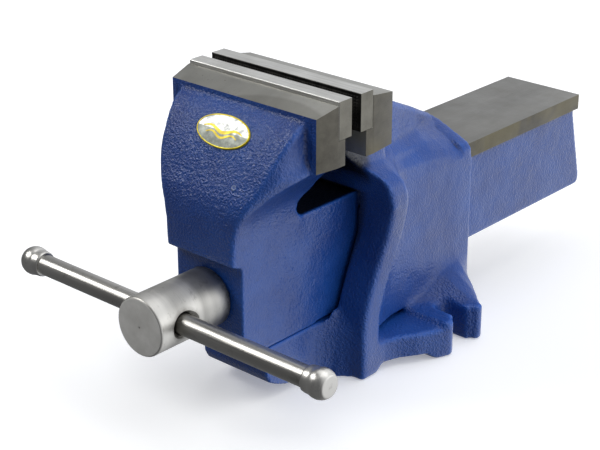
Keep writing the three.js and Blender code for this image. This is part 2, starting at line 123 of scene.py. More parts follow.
def apply_modifiers(obj):
    graph = bpy.context.evaluated_depsgraph_get()
    graph.update()
    mesh = bpy.data.meshes.new_from_object(obj.evaluated_get(graph))
    old = obj.data
    obj.modifiers.clear()
    obj.data = mesh
    bpy.data.meshes.remove(old)
    return obj


def subtract(obj, *cutters):
    for cutter in cutters:
        mod = obj.modifiers.new("cut", "BOOLEAN")
        mod.object = cutter
        mod.operation = "DIFFERENCE"
        mod.solver = "EXACT"
    apply_modifiers(obj)
    for cutter in cutters:
        bpy.data.objects.remove(cutter)
    return obj


def arc(cx, cy, r, start, end, steps):
    """Points of a circle's arc, angles in degrees."""
    angles = [math.radians(start + (end - start) * i / steps) for i in range(steps + 1)]
    return [(cx + r * math.cos(a), cy + r * math.sin(a)) for a in angles]


def rounded(points, radius, steps=4):
    """An open outline with every inner corner rounded."""
    out = [points[0]]
    for before, corner, after in zip(points, points[1:], points[2:]):
        b, c, a = Vector(before), Vector(corner), Vector(after)
        u, v = (b - c), (a - c)
        reach = min(radius, u.length * 0.45, v.length * 0.45)
        p, q = c + u.normalized() * reach, c + v.normalized() * reach
        for i in range(steps + 1):
            t = i / steps
            out.append(tuple(p * (1 - t) ** 2 + c * (2 * t * (1 - t)) + q * t ** 2))
    out.append(points[-1])
    return out


def lathe(name, profile, axis, centre, segments=64):
    """A body turned from (radius, place along the axis) points, which start and end on it."""
    cx, cy, cz = centre
    place = {
        "x": lambda c, s, t: (cx + t, cy + c, cz + s),
        "y": lambda c, s, t: (cx + c, cy + t, cz + s),
    }[axis]
    verts, rings = [], []
    for r, t in profile:
        count = 1 if r < 1e-6 else segments
        rings.append(list(range(len(verts), len(verts) + count)))
        for i in range(count):
            a = 2 * math.pi * i / segments
            verts.append(place(r * math.cos(a), r * math.sin(a), t))
    faces = []
    for one, two in zip(rings, rings[1:]):
        for i in range(segments):
            j = (i + 1) % segments
            quad = [one[i % len(one)], one[j % len(one)], two[j % len(two)], two[i % len(two)]]
            face = list(dict.fromkeys(quad))
            if len(face) > 2:
                faces.append(face)
    return mesh_object(name, verts, faces)


def ring_body(name, inner, outer, start, end, edge=0.5):
    """A washer or collar round the screw's axis."""
    profile = [(inner, start + edge), (inner + edge, start), (outer - edge, start),
               (outer, start + edge), (outer, end - edge), (outer - edge, end),
               (inner + edge, end), (inner, end - edge), (inner, start + edge)]
    return lathe(name, profile, "y", (0, 0, AXIS_Z), 56)


def chamfer_sharp(bm, width, segments=2, angle=25):
    edges = [e for e in bm.edges if len(e.link_faces) == 2
             and e.calc_face_angle(0) > math.radians(angle)]
    bmesh.ops.bevel(bm, geom=edges, offset=width * MM, segments=segments, profile=0.6,
                    affect="EDGES", clamp_overlap=True)


# ---- machined parts of the castings ------------------------------------------------------------
def jaw_block(name, face, seat, out, top, edge=0.45):
    """A machined block: recessed for its plate, with ends that narrow to its free side."""
    away = math.copysign(1, out - seat)
    back = seat + away * SEAT_GAP
    step = -PLATE_H - SEAT_GAP
    outline = [(face, BLOCK_BOTTOM), (face, step), (back, step), (back, top[0]),
               (out, top[1]), (out, BLOCK_BOTTOM)]
    half = len(outline)
    verts = [(side * JAW_HALF, y, z) for side in (-1, 1) for y, z in outline]
    faces = [list(range(half)), list(range(half, 2 * half))]
    faces += [[i, (i + 1) % half, half + (i + 1) % half, half + i] for i in range(half)]
    obj = mesh_object(name, verts, faces)
    turn = seat + away * 2
    bm = bmesh.new()
    bm.from_mesh(obj.data)
    bmesh.ops.bisect_plane(bm, geom=bm.verts[:] + bm.edges[:] + bm.faces[:],
                           plane_co=at(0, turn, 0), plane_no=(0, 1, 0))
    for v in bm.verts:
        y = v.co.y / MM - SHIFT[1]
        past = max(0.0, (y - turn) / (out - turn))
        v.co.x *= (JAW_HALF - (JAW_HALF - FREE_HALF) * past) / JAW_HALF
    chamfer_sharp(bm, edge)
    bmesh.ops.recalc_face_normals(bm, faces=bm.faces)
    for f in bm.faces:
        f.material_index = 1 if f.normal.y * away > 0.75 else 0
    bm.to_mesh(obj.data)
    bm.free()
    return smooth_shade(obj, 20)


def slide_way():
    """The machined top of the slide."""
    y0, y1 = 50.0, SLIDE_END
    verts = [(x, y, z) for x in (-FLANGE_HALF, FLANGE_HALF) for y in (y0, y1)
             for z in (FLANGE_BOTTOM, FLANGE_TOP)]
    faces = [[0, 1, 3, 2], [4, 5, 7, 6], [0, 1, 5, 4], [2, 3, 7, 6], [0, 2, 6, 4], [1, 3, 7, 5]]
    obj = mesh_object("slide_way", verts, faces)
    bm = bmesh.new()
    bm.from_mesh(obj.data)
    chamfer_sharp(bm, 0.6)
    bm.to_mesh(obj.data)
    bm.free()
    return smooth_shade(obj, 20)


# ---- castings ----------------------------------------------------------------------------------
VOXEL = 1.6
FILL_STEPS = 70


def fading_in(distance, start, width, least=0.0):
    """The least value up to the start, rising to 1 over the width."""
    return np.clip((distance - start) / width, least, 1)


def shade(distance, reach):
    """1 at no distance, falling to 0 at the reach."""
    return np.clip(1 - distance / reach, 0, 1)


def mesh_arrays(mesh):
    co = np.empty(len(mesh.vertices) * 3, np.float32)
    mesh.vertices.foreach_get("co", co)
    edges = np.empty(len(mesh.edges) * 2, np.int32)
    mesh.edges.foreach_get("vertices", edges)
    return co.reshape(-1, 3).astype(float) / MM - SHIFT, edges.reshape(-1, 2)


def neighbour_mean(co, edges):
    a, b = edges.T
    ends, others = np.concatenate([a, b]), np.concatenate([b, a])
    count = np.bincount(ends, minlength=len(co))
    total = [np.bincount(ends, weights=co[others, k], minlength=len(co)) for k in range(3)]
    return np.stack(total, axis=1) / np.maximum(count, 1)[:, None]


def box_distance(co, low, high):
    """How far each point is from a box; 0 inside it."""
    gap = np.maximum(np.maximum(np.array(low) - co, co - np.array(high)), 0)
    return np.linalg.norm(gap, axis=1)


def soften(co, edges, weight, steps):
    for _ in range(steps):
        co = co + 0.5 * weight[:, None] * (neighbour_mean(co, edges) - co)
    return co


def put_points(mesh, co):
    mesh.vertices.foreach_set("co", ((co + SHIFT) * MM).astype(np.float32).ravel())
    mesh.update()


def vertex_normals(mesh):
    normals = np.empty(len(mesh.vertices) * 3, np.float32)
    mesh.vertices.foreach_get("normal", normals)
    return normals.reshape(-1, 3)


def fill_hollows(mesh, co, edges, weight, steps):
    """Rounds the inside corners only: a vertex moves outwards or stays."""
    for k in range(steps):
        if k % 8 == 0:
            put_points(mesh, co)
            normals = vertex_normals(mesh)
        rise = ((neighbour_mean(co, edges) - co) * normals).sum(axis=1)
        co = co + (0.5 * weight * np.maximum(rise, 0))[:, None] * normals
    return co


def convexity(mesh):
    """How sharply each vertex stands proud (above 0) or lies in a corner (below 0)."""
    co, edges = mesh_arrays(mesh)
    bend = -((neighbour_mean(co, edges) - co) * vertex_normals(mesh)).sum(axis=1)
    for _ in range(3):
        bend = 0.5 * bend + 0.5 * neighbour_mean(np.stack([bend] * 3, axis=1), edges)[:, 0]
    return bend


def cast_piece(name, node, weight_of, hollow_of, tuck, painted_shade_of, steps, keep=0.4):
    """A casting: the CAD solid with its corners softened, tucked under its machined parts."""
    obj = new_object(name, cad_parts[node].data.copy())
    obj.data.name = name
    mod = obj.modifiers.new("remesh", "REMESH")
    mod.mode = "VOXEL"
    mod.voxel_size = VOXEL * MM
    apply_modifiers(obj)
    co, edges = mesh_arrays(obj.data)
    co = fill_hollows(obj.data, co, edges, hollow_of(co), FILL_STEPS)
    co = soften(co, edges, weight_of(co), steps)
    co = tuck(co)
    put_points(obj.data, co)
    # bend: how proud or tucked each point is; dark: the painted shade for the throat, channel and
    # seams.
    for label, values in (("bend", convexity(obj.data)), ("dark", painted_shade_of(co))):
        layer = obj.data.attributes.new(label, "FLOAT", "POINT")
        layer.data.foreach_set("value", values.astype(np.float32))
    mod = obj.modifiers.new("thin", "DECIMATE")
    mod.ratio = keep
    apply_modifiers(obj)
    obj.data.shade_smooth()
    return obj


def sliding_weight(co):
    """How much the sliding casting is softened: hardly at all round what is machined."""
    block = box_distance(co, *SLIDING_BLOCK)
    way = box_distance(co, (-39, 50, -113), (39, 356, -99))
    seat = box_distance(co, (-34, -83.5, -198), (34, -82.5, -123))
    near = np.minimum(np.minimum(block, way), seat + 2)
    return fading_in(near, KEEP_NEAR, KEEP_FADE, LEAST_SOFT)


def sliding_hollows(co):
    """Where the sliding jaw's inside corners are broad: round the front, not at the slide."""
    slide = box_distance(co, (-41, 20, -200), (41, 380, -97))
    block = box_distance(co, *SLIDING_BLOCK)
    under = box_distance(co, (-75, -26, -101), (75, 0, -76))
    near = np.minimum(np.minimum(slide, block), under)
    return fading_in(near, 1, 5) * (co[:, 2] > -190)


def sliding_painted_shade(co):
    """Painted shade under the block, where the throat lies in shadow."""
    away = box_distance(co, (-32, -26.5, -101.5), (32, 50, -49))
    return shade(away, 1.5)


def fixed_hollows(co):
    """Where the body's inside corners are broad: outside the channel that the slide runs in."""
    channel = box_distance(co, (-41, -40, -245), (41, 400, -60))
    block = box_distance(co, *FIXED_BLOCK)
    return fading_in(np.minimum(channel, block), KEEP_NEAR, KEEP_FADE)


def fixed_painted_shade(co):
    """Painted shade in the throat, inside the channel and down the seam beside the slide."""
    x, y, z = co.T
    throat = box_distance(co, (-52, 6, -100), (52, 34, -52))
    channel = box_distance(co, (-38, 24, -190), (38, 200, -98))
    # A band of painted shade down the seam's edge beside the slide, widest at the top.
    band = np.interp(z, [-190, -150, -100], [1.0, 4.5, 11])
    at_mouth = (z > -195) & (z < -96) & (y < 50) & (y > 12)
    mouth = shade(abs(x) - 37, band) * at_mouth
    return np.maximum.reduce([shade(throat, 6), shade(channel, 1.2), mouth ** 0.6])


def tuck_sliding(co):
    """Draws the sliding casting in under its block and the slide's machined top."""
    x, y, z = co.T
    high = (z > BLOCK_BOTTOM) & (y > -45)
    top = np.interp(y, [SLIDING_FREE, SLIDING_SEAT], SLIDING_TOPS[::-1]) - TUCK
    z = np.where(high, np.minimum(z, top), z)
    x = np.where(high, np.clip(x, -TUCK_HALF, TUCK_HALF), x)
    y = np.where(high & (z > RECESS_TOP), np.minimum(y, SLIDING_SEAT - TUCK), y)
    y = np.where(high, np.minimum(y, SLIDING_FACE - TUCK), y)
    way = (y > 49) & (z > FLANGE_BOTTOM - 0.8)
    x = np.where(way, np.clip(x, -FLANGE_HALF + TUCK, FLANGE_HALF - TUCK), x)
    z = np.where(way, np.minimum(z, FLANGE_TOP - TUCK), z)
    z = np.where(way & (abs(x) > 35), np.maximum(z, FLANGE_BOTTOM + TUCK), z)
    y = np.where(way & (z > FLANGE_BOTTOM + 1), np.minimum(y, SLIDE_END - TUCK), y)
    return np.stack([x, y, z], axis=1)


def fixed_weight(co):
    """How much the body is softened: hardly at all round its block and the way."""
    block = box_distance(co, *FIXED_BLOCK)
    way = box_distance(co, (-40, 45, -114), (40, 200, -98))
    return fading_in(np.minimum(block, way), KEEP_NEAR, KEEP_FADE, LEAST_SOFT)


def tuck_fixed(co):
    """Draws the body in under its block."""
    x, y, z = co.T
    high = (z > BLOCK_BOTTOM) & (y < 41)
    top = np.interp(y, [FIXED_SEAT, FIXED_FREE], FIXED_TOPS) - TUCK
    z = np.where(high, np.minimum(z, top), z)
    x = np.where(high, np.clip(x, -TUCK_HALF, TUCK_HALF), x)
    y = np.where(high & (z > RECESS_TOP), np.maximum(y, FIXED_SEAT + TUCK), y)
    y = np.where(high, np.maximum(y, FIXED_FACE + TUCK), y)
    free = high & ((abs(x) > 52) | (z > -12))
    y = np.where(free, np.minimum(y, FIXED_FREE - TUCK), y)
    z = np.where(high & (abs(x) > 56), np.maximum(z, BLOCK_BOTTOM + TUCK), z)
    return np.stack([x, y, z], axis=1)


# ---- plates ------------------------------------------------------------------------------------
def serrated_plate(name, face, away):
    """A jaw plate with pyramid teeth on its clamping face, which looks towards -away."""
    cells_x, cells_z, edge, depth = 60, 12, 0.3, 0.45
    x0, x1, z0, z1 = -JAW_HALF, JAW_HALF, -PLATE_H, 0.0

    def column(i, inset):
        return x0 + inset + (x1 - x0 - 2 * inset) * i / cells_x

    def row(j, inset):
        return z0 + inset + (z1 - z0 - 2 * inset) * j / cells_z

    rim = [(i, 0) for i in range(cells_x)] + [(cells_x, j) for j in range(cells_z)]
    rim += [(cells_x - i, cells_z) for i in range(cells_x)]
    rim += [(0, cells_z - j) for j in range(cells_z)]
    verts, faces, grid = [], [], {}
    for i in range(cells_x + 1):
        for j in range(cells_z + 1):
            border = i in (0, cells_x) or j in (0, cells_z)
            grid[i, j] = len(verts)
            verts.append((column(i, edge), face + away * (0 if border else depth), row(j, edge)))
    for i in range(cells_x):
        for j in range(cells_z):
            peak = len(verts)
            verts.append((column(i + 0.5, edge), face, row(j + 0.5, edge)))
            ring = [grid[i, j], grid[i + 1, j], grid[i + 1, j + 1], grid[i, j + 1]]
            faces += [[ring[k], ring[(k + 1) % 4], peak] for k in range(4)]
    last = [grid[c] for c in rim]
    for inset, d in ((0, edge), (0, PLATE_T - edge), (edge, PLATE_T)):
        count = len(rim)
        now = list(range(len(verts), len(verts) + count))
        verts += [(column(i, inset), face + away * d, row(j, inset)) for i, j in rim]
        faces += [[last[k], last[(k + 1) % count], now[(k + 1) % count], now[k]]
                  for k in range(count)]
        last = now
    faces.append(last)
    obj = mesh_object(name, verts, faces)
    sink, shank = 8.6, 5.3
    hole = [(0, -1), (sink, -1), (sink, 2.1), (shank, 6.1), (shank, PLATE_T + 1), (0, PLATE_T + 1)]
    cutters = [lathe("cutter", [(r, face + away * d) for r, d in hole], "y",
                     (side * PLATE_SCREW_X, 0, PLATE_SCREW_Z), 48) for side in (-1, 1)]
    subtract(obj, *cutters)
    # The clamping faces take the dark oiled steel, partly as painted shade in the gap between the
    # plates.
    for polygon in obj.data.polygons:
        polygon.material_index = 1 if -away * polygon.normal.y > 0.6 else 0
    return smooth_shade(obj, 20)


# ---- screw, head, bar --------------------------------------------------------------------------
def screw_head():
    """The head, with a centre mark on its end and a flared cross hole for the bar."""
    outline = [(0, HEAD_FRONT + 0.5), (0.8, HEAD_FRONT + 0.1), (1.0, HEAD_FRONT),
               (21.9, HEAD_FRONT), (HEAD_R, HEAD_FRONT + 1.2), (HEAD_R, HEAD_BACK - 1.6),
               (21.5, HEAD_BACK), (0, HEAD_BACK)]
    obj = lathe("screw_head_turned", rounded(outline, 0.8, 3), "y", (0, 0, AXIS_Z), 128)
    bore, flare, past = 9.0, 14, 40
    hole = [(0, -past), (flare, -past), (flare, -24), (bore, -19.2), (bore, 19.2), (flare, 24),
            (flare, past), (0, past)]
    subtract(obj, lathe("cutter", hole, "x", (0, BAR_Y, AXIS_Z), 72))
    return smooth_shade(obj, 28)


def threaded_screw():
    """A shaft whose rear length carries a square-shouldered thread of one start."""
    around, per_turn = 40, 8
    front, thread, rear = -83.0, 4.0, 318.0
    depth, chamfer = 2.7, 1.2
    count = int((rear - thread) / PITCH * per_turn)
    rings = [front, front + 1] + [thread + PITCH / per_turn * i for i in range(count)]
    verts, faces = [], []
    for y in rings:
        for i in range(around):
            a = 2 * math.pi * i / around
            phase = (y / PITCH - i / around) % 1
            cut = min(1.0, max(0.0, (abs(phase - 0.5) - 0.16) / 0.1))
            run_in = min(1.0, max(0.0, (y - thread) / 6))
            run_out = min(1.0, max(0.0, (rear - 6 - y) / 3 + 1))
            ease = run_in * run_out
            r = SCREW_R - depth * (1 - cut) * ease
            if y < front + 0.5 or y > rear - 3:
                r -= chamfer
            verts.append((r * math.cos(a), y, AXIS_Z + r * math.sin(a)))
    for k in range(len(rings) - 1):
        for i in range(around):
            j = (i + 1) % around
            base, above = k * around, (k + 1) * around
            faces.append([base + i, base + j, above + j, above + i])
    faces.append(list(range(around)))
    faces.append(list(range((len(rings) - 1) * around, len(rings) * around)))
    return smooth_shade(mesh_object("threaded_screw", verts, faces), 40)


def bar():
    end = KNOB_X + 3
    half = [(BAR_R - 0.5, end), (BAR_R, end - 0.5), (BAR_R, KNOB_X - 14.5), (BAR_R, 30)]
    left, right = [(r, -t) for r, t in half], half[::-1]
    profile = [(0, -end)] + left + right + [(0, end)]
    return smooth_shade(lathe("turned_bar", profile, "x", (BAR_SHIFT, BAR_Y, AXIS_Z), 64), 30)


def knob(side):
    """A ball end with a ground flat and a short necked collar."""
    flat = 8.2
    lift = math.degrees(math.asin(flat / KNOB_R))
    ball = arc(0, 0, KNOB_R, -25, lift - 2.5, 22)
    profile = [(0, -11.5), (BAR_R + 0.05, -11.5), (9.2, -11.5), (9.8, -10.9), (10.05, -10.0),
               (10.25, -7.4)] + ball + [(7.4, flat - 0.05), (7.0, flat), (0, flat)]
    flipped = [(r, side * t) for r, t in profile]
    name = "bar_knob_right_turned" if side > 0 else "bar_knob_left_turned"
    centre = (side * KNOB_X + BAR_SHIFT, BAR_Y, AXIS_Z)
    return smooth_shade(lathe(name, flipped, "x", centre, 72), 30)


# ---- badge -------------------------------------------------------------------------------------
BADGE_CENTRE = (0.0, -65.1, -28.8)
BADGE_TILT = math.atan2(73.2 - 56.8, 41 - 20.2)
BADGE_U, BADGE_V = 25.8, 13.0
BADGE_BOW = 0.0042                          # how fast the badge falls away from a flat plane
RIM, UPPER, LOWER = 0, 1, 2                 # the badge's materials
FIELD_RINGS = 5


def badge_fall(v):
    """How far the face behind the badge drops below a plane, at a height up the slope."""
    return BADGE_BOW * v * v + (0.004 * (v - 6) ** 2 if v > 6 else 0.0)


def badge_point(u, v, w):
    """A point of the badge: across, up the slope, and out from the jaw."""
    s, c = math.sin(BADGE_TILT), math.cos(BADGE_TILT)
    x, y, z = BADGE_CENTRE
    w -= badge_fall(v)
    return (x + u, y + v * s - w * c, z + v * c + w * s)


def badge():
    """An oval plate whose field is bright above and grey below, inside a thin raised rim."""
    around = 96
    # (share of the radius, height); the rim stands above a slightly crowned field
    rings = [(0.0, 0.8), (0.25, 0.79), (0.45, 0.77), (0.62, 0.74), (0.78, 0.7), (0.905, 0.68),
             (0.915, 0.9), (0.93, 0.98), (0.965, 0.98), (0.985, 0.9), (1.0, 0.6), (1.0, -1.2)]
    verts = [badge_point(0, 0, rings[0][1])]
    faces, index = [], []
    for share, height in rings[1:]:
        for i in range(around):
            a = 2 * math.pi * i / around
            inset = (1 - share) * BADGE_V
            verts.append(badge_point((BADGE_U - inset * (1 + 0.99 * (1 - share))) * math.cos(a),
                                     (BADGE_V - inset) * math.sin(a), height))
    ring = [[1 + k * around + i for i in range(around)] for k in range(len(rings) - 1)]
    for i in range(around):
        faces.append([0, ring[0][i], ring[0][(i + 1) % around]])
        index.append(UPPER if i < around / 2 else LOWER)
    for k in range(len(ring) - 1):
        for i in range(around):
            j = (i + 1) % around
            faces.append([ring[k][i], ring[k][j], ring[k + 1][j], ring[k + 1][i]])
            field = UPPER if i < around / 2 else LOWER
            index.append(field if k < FIELD_RINGS else RIM)
    faces.append(ring[-1][::-1])
    index.append(RIM)
    mesh = bpy.data.meshes.new("oval_badge")
    mesh.from_pydata([at(*v) for v in verts], [], faces)
    for f, m in zip(mesh.polygons, index):
        f.material_index = m
    return smooth_shade(new_object("oval_badge", mesh), 40)


def badge_motif():
    """Two plain waves, raised on the badge's field."""
    def ribbon(points, width, w0, w1):
        left, right = [], []
        for k, (u, v) in enumerate(points):
            p = Vector(points[min(k + 1, len(points) - 1)]) - Vector(points[max(k - 1, 0)])
            n = Vector((-p.y, p.x)).normalized() * width(k / (len(points) - 1)) / 2
            left.append((u + n.x, v + n.y))
            right.append((u - n.x, v - n.y))
        outline = left + right[::-1]
        base = len(verts)
        n = len(outline)
        verts.extend(badge_point(u, v, w) for w in (w0, w1) for u, v in outline)
        m = len(points)
        for k in range(m - 1):
            a, b, c, d = k, k + 1, n - 2 - k, n - 1 - k
            faces.append([base + n + q for q in (a, b, c, d)])
            faces.append([base + q for q in (d, c, b, a)])
        for k in range(n):
            j = (k + 1) % n
            faces.append([base + k, base + j, base + n + j, base + n + k])

    verts, faces = [], []
    steps, rise, swings = 28, 1.7, 1.5
    for drop, span, width in ((0.4, 19, 1.9), (-3.6, 15, 1.1)):
        wave = [(-span + 2 * span * t / steps,
                 rise * math.sin(2 * math.pi * t / steps * swings) + drop)
                for t in range(steps + 1)]
        ribbon(wave, lambda t, w=width: 0.7 + w * math.sin(math.pi * t), 0.4, 0.98)
    return smooth_shade(mesh_object("badge_motif", verts, faces), 30)


# ---- materials ---------------------------------------------------------------------------------
def linear(hex_code):
    """A colour written as six hex digits, in linear light."""
    values = [int(hex_code[i:i + 2], 16) / 255 for i in (0, 2, 4)]
    return [v / 12.92 if v <= 0.04045 else ((v + 0.055) / 1.055) ** 2.4 for v in values] + [1.0]


class Maker:
    """Builds one material's nodes: each call makes a node and returns its first output."""

    def __init__(self, name):
        self.material = bpy.data.materials.new(name)
        self.material.use_nodes = True
        self.tree = self.material.node_tree
        self.shader = self.tree.nodes["Principled BSDF"]
        self.place = self.tree.nodes.new("ShaderNodeTexCoord").outputs["Object"]

    def put(self, socket, value):
        if isinstance(value, bpy.types.NodeSocket):
            self.tree.links.new(value, socket)
        else:
            socket.default_value = value

    def node(self, kind, inputs, **settings):
        n = self.tree.nodes.new("ShaderNode" + kind)
        for key, value in settings.items():
            setattr(n, key, value)
        for key, value in inputs.items():
            self.put(n.inputs[key], value)
        return n

    def math(self, operation, a, b=0.5):
        return self.node("Math", {0: a, 1: b}, operation=operation).outputs[0]

    def stretched(self, x, y, z):
        """Object coordinates with each axis scaled."""
        return self.node("Mapping", {"Vector": self.place, "Scale": (x, y, z)}).outputs[0]

    def noise(self, scale, detail=3.0, rough=0.55, vector=None, distortion=0.0):
        inputs = {"Vector": vector or self.place, "Scale": scale, "Detail": detail,
                  "Roughness": rough, "Distortion": distortion}
        return self.node("TexNoise", inputs).outputs[0]

    def ramp(self, value, low, high, out_low=0.0, out_high=1.0):
        inputs = {"Value": value, "From Min": low, "From Max": high, "To Min": out_low,
                  "To Max": out_high}
        return self.node("MapRange", inputs, clamp=True).outputs[0]

    def mix(self, share, a, b):
        n = self.node("Mix", {0: share}, data_type="RGBA")
        self.put(n.inputs[6], a)
        self.put(n.inputs[7], b)
        return n.outputs[2]

    def axis(self, k):
        return self.node("SeparateXYZ", {0: self.place}).outputs[k]

    def facing(self, k):
        """One component of the surface's own direction."""
        normal = self.node("TexCoord", {}).outputs["Normal"]
        return self.node("SeparateXYZ", {0: normal}).outputs[k]

    def attribute(self, name):
        n = self.tree.nodes.new("ShaderNodeAttribute")
        n.attribute_name = name
        return n.outputs["Fac"]

    def bump(self, height, strength, distance, normal=None):
        inputs = {"Height": height, "Strength": strength, "Distance": distance}
        if normal is not None:
            inputs["Normal"] = normal
        return self.node("Bump", inputs).outputs[0]

    def distance(self, point):
        """Metres from a datum-frame point."""
        ends = {0: self.place, 1: at(*point)}
        return self.node("VectorMath", ends, operation="DISTANCE").outputs[1]

    def near(self, point, radius, soft):
        """1 inside a ball round a datum-frame point, falling to 0 over the soft distance."""
        return self.ramp(self.distance(point), radius * MM, (radius + soft) * MM, 1.0, 0.0)

    def finish(self, **inputs):
        for key, value in inputs.items():
            self.put(self.shader.inputs[key.replace("_", " ")], value)
        return self.material


BLISTER = (27.3, -83.7, -60.0)              # a burst bubble in the paint of the front


def paint():
    """Glossy blue over rough iron: grained front, chipped edges, painted shade in corners."""
    m = Maker("cast_blue_paint")
    broad = m.noise(14, 3, 0.6)
    blotch = m.noise(70, 4, 0.6)
    colour = m.mix(m.ramp(broad, 0.35, 0.68), linear("143A82"), linear("1B4B9A"))
    colour = m.mix(m.ramp(blotch, 0.60, 0.78, 0, 0.3), colour, linear("18346F"))
    bend = m.attribute("bend")
    # Painted highlight: proud edges lighter and bluer. Painted shade: corners darker.
    colour = m.mix(m.ramp(bend, 0.03, 0.16, 0, 0.5), colour, linear("2C66C4"))
    colour = m.mix(m.ramp(bend, -0.02, -0.12, 0, 0.45), colour, linear("0E2A66"))
    worn = m.math("MULTIPLY", m.ramp(bend, 0.16, 0.34), m.ramp(m.noise(55, 5, 0.7), 0.54, 0.62))
    # Grime in the corners, also deepening the painted shade there.
    grime_and_shade = m.math("MULTIPLY", m.ramp(bend, -0.03, -0.14), m.ramp(m.noise(90, 4, 0.6), 0.3, 0.6))
    colour = m.mix(m.math("MULTIPLY", grime_and_shade, 0.6), colour, linear("0A1130"))
    colour = m.mix(m.math("MULTIPLY", worn, 0.7), colour, linear("4C4B44"))
    # Painted shade, nearly black, where the castings' dark attribute marks the throat, the channel
    # and the seams.
    colour = m.mix(m.math("MULTIPLY", m.attribute("dark"), 0.97), colour, linear("06080E"))
    ring = m.math("SUBTRACT", m.near(BLISTER, 1.9, 0.6), m.near(BLISTER, 0.8, 0.6))
    colour = m.mix(m.math("MULTIPLY", ring, 0.6), colour, linear("8FA3C8"))
    peel = m.node("TexVoronoi", {"Vector": m.place, "Scale": 760.0, "Randomness": 1.0},
                  feature="SMOOTH_F1").outputs[0]
    forward = m.facing(1)
    front = m.ramp(forward, -0.15, -0.5, 0.5, 1.0)
    normal = m.bump(m.noise(40, 2, 0.5), 0.35, 0.004)
    grain = m.noise(480, 2, 0.5)
    gloss = m.bump(grain, front, 0.0013, normal)
    normal = m.bump(grain, front, 0.0009, normal)
    normal = m.bump(peel, front, 0.0007, normal)
    normal = m.bump(ring, 0.8, 0.0006, normal)
    rough = m.ramp(m.noise(110, 4, 0.6), 0.3, 0.7, 0.34, 0.48)
    glossy = m.ramp(forward, -0.15, -0.5)
    coat = m.math("MAXIMUM", glossy, m.ramp(m.facing(2), 0.15, 0.6, 1.0, 0.25))
    return m.finish(Base_Color=colour, Roughness=rough, Normal=normal, Coat_Normal=gloss,
                    Coat_Weight=m.math("MULTIPLY", coat, 0.75), Coat_Roughness=0.12,
                    Specular_IOR_Level=0.2)


def machined(name="machined_iron", top=("8A8984", "A1A09A"), end=("4B4841", "605D54")):
    """Cut iron: pale on the tops, oxidised to a warm grey on the ends, filmed low down."""
    m = Maker(name)
    along = m.noise(26, 4, 0.6, m.stretched(1.0, 0.22, 1.0))
    stain = m.noise(17, 2, 0.5, distortion=1.2)
    colour = m.mix(m.ramp(along, 0.3, 0.7), linear(top[0]), linear(top[1]))
    colour = m.mix(m.ramp(stain, 0.50, 0.62, 0, 0.12), colour, linear("6E6B61"))
    sweep = m.near((38, -118, -6), 84, 3)   # one curved edge across the front block
    colour = m.mix(m.math("MULTIPLY", sweep, 0.35), colour, linear("5C5A52"))
    ends = m.mix(m.ramp(m.noise(90, 4, 0.65), 0.3, 0.7), linear(end[0]), linear(end[1]))
    low = m.ramp(m.axis(2), at(0, 0, -36).z, at(0, 0, -50).z, 0, 0.22)
    ends = m.mix(m.math("MULTIPLY", low, m.ramp(stain, 0.40, 0.55)), ends, linear("8A7F4E"))
    upright = m.ramp(m.math("ABSOLUTE", m.facing(0)), 0.5, 0.9)
    colour = m.mix(upright, colour, ends)
    colour = m.mix(m.ramp(m.noise(420, 3, 0.6), 0.66, 0.74, 0, 0.5), colour, linear("45423A"))
    lines = m.noise(900, 2, 0.5, m.stretched(1.0, 0.05, 1.0))
    normal = m.bump(lines, 0.35, 0.0004)
    normal = m.bump(m.noise(60, 3), 0.2, 0.0012, normal)
    rough = m.ramp(m.noise(45, 4), 0.3, 0.7, 0.38, 0.52)
    return m.finish(Base_Color=colour, Metallic=0.75, Roughness=rough, Normal=normal)


def plate_steel():
    m = Maker("ground_plate_steel")
    brushed = m.noise(700, 3, 0.6, m.stretched(0.03, 1.0, 1.0))
    colour = m.mix(m.ramp(m.noise(30, 3), 0.3, 0.7), linear("CBCAC5"), linear("DEDDD9"))
    ends = m.mix(m.ramp(m.noise(75, 4, 0.6), 0.3, 0.7), linear("646158"), linear("79766C"))
    colour = m.mix(m.ramp(m.math("ABSOLUTE", m.facing(0)), 0.5, 0.9), colour, ends)
    colour = m.mix(m.ramp(brushed, 0.35, 0.7, 0, 0.35), colour, linear("76756F"))
    normal = m.bump(brushed, 0.3, 0.0003)
    rough = m.ramp(m.noise(80, 3), 0.3, 0.7, 0.34, 0.46)
    return m.finish(Base_Color=colour, Metallic=0.85, Roughness=rough, Normal=normal)


def turned_steel(name, axis, scale, dark, light, stains=(), rough=(0.25, 0.38)):
    """Bright steel with fine tool marks round one axis, or along the bar: "lengthwise".

    It is darker near each (point, radius, soft).
    """
    m = Maker(name)
    stretch = [0.02, 0.02, 0.02] if axis in "xyz" else [0.02, 1.0, 1.0]
    if axis in "xyz":
        stretch["xyz".index(axis)] = 1.0
    marks = m.noise(scale, 2, 0.5, m.stretched(*stretch))
    wide = m.noise(60, 2, 0.5, m.stretched(*[max(s, 0.1) for s in stretch]))
    colour = m.mix(m.ramp(wide, 0.3, 0.7), linear(dark), linear(light))
    colour = m.mix(m.ramp(m.noise(150, 4, 0.65), 0.58, 0.72, 0, 0.4), colour, linear("6E6A62"))
    for point, radius, soft in stains:
        smear = m.ramp(m.noise(260, 4, 0.6), 0.3, 0.6, 0.3, 1)
        darkening = m.math("MULTIPLY", m.near(point, radius, soft), smear)
        colour = m.mix(m.math("MULTIPLY", darkening, 0.8), colour, linear("2E2A22"))
    normal = m.bump(marks, 0.4, 0.00035)
    rough = m.ramp(marks, 0.2, 0.8, *rough)
    return m.finish(Base_Color=colour, Metallic=1.0, Roughness=rough, Normal=normal)


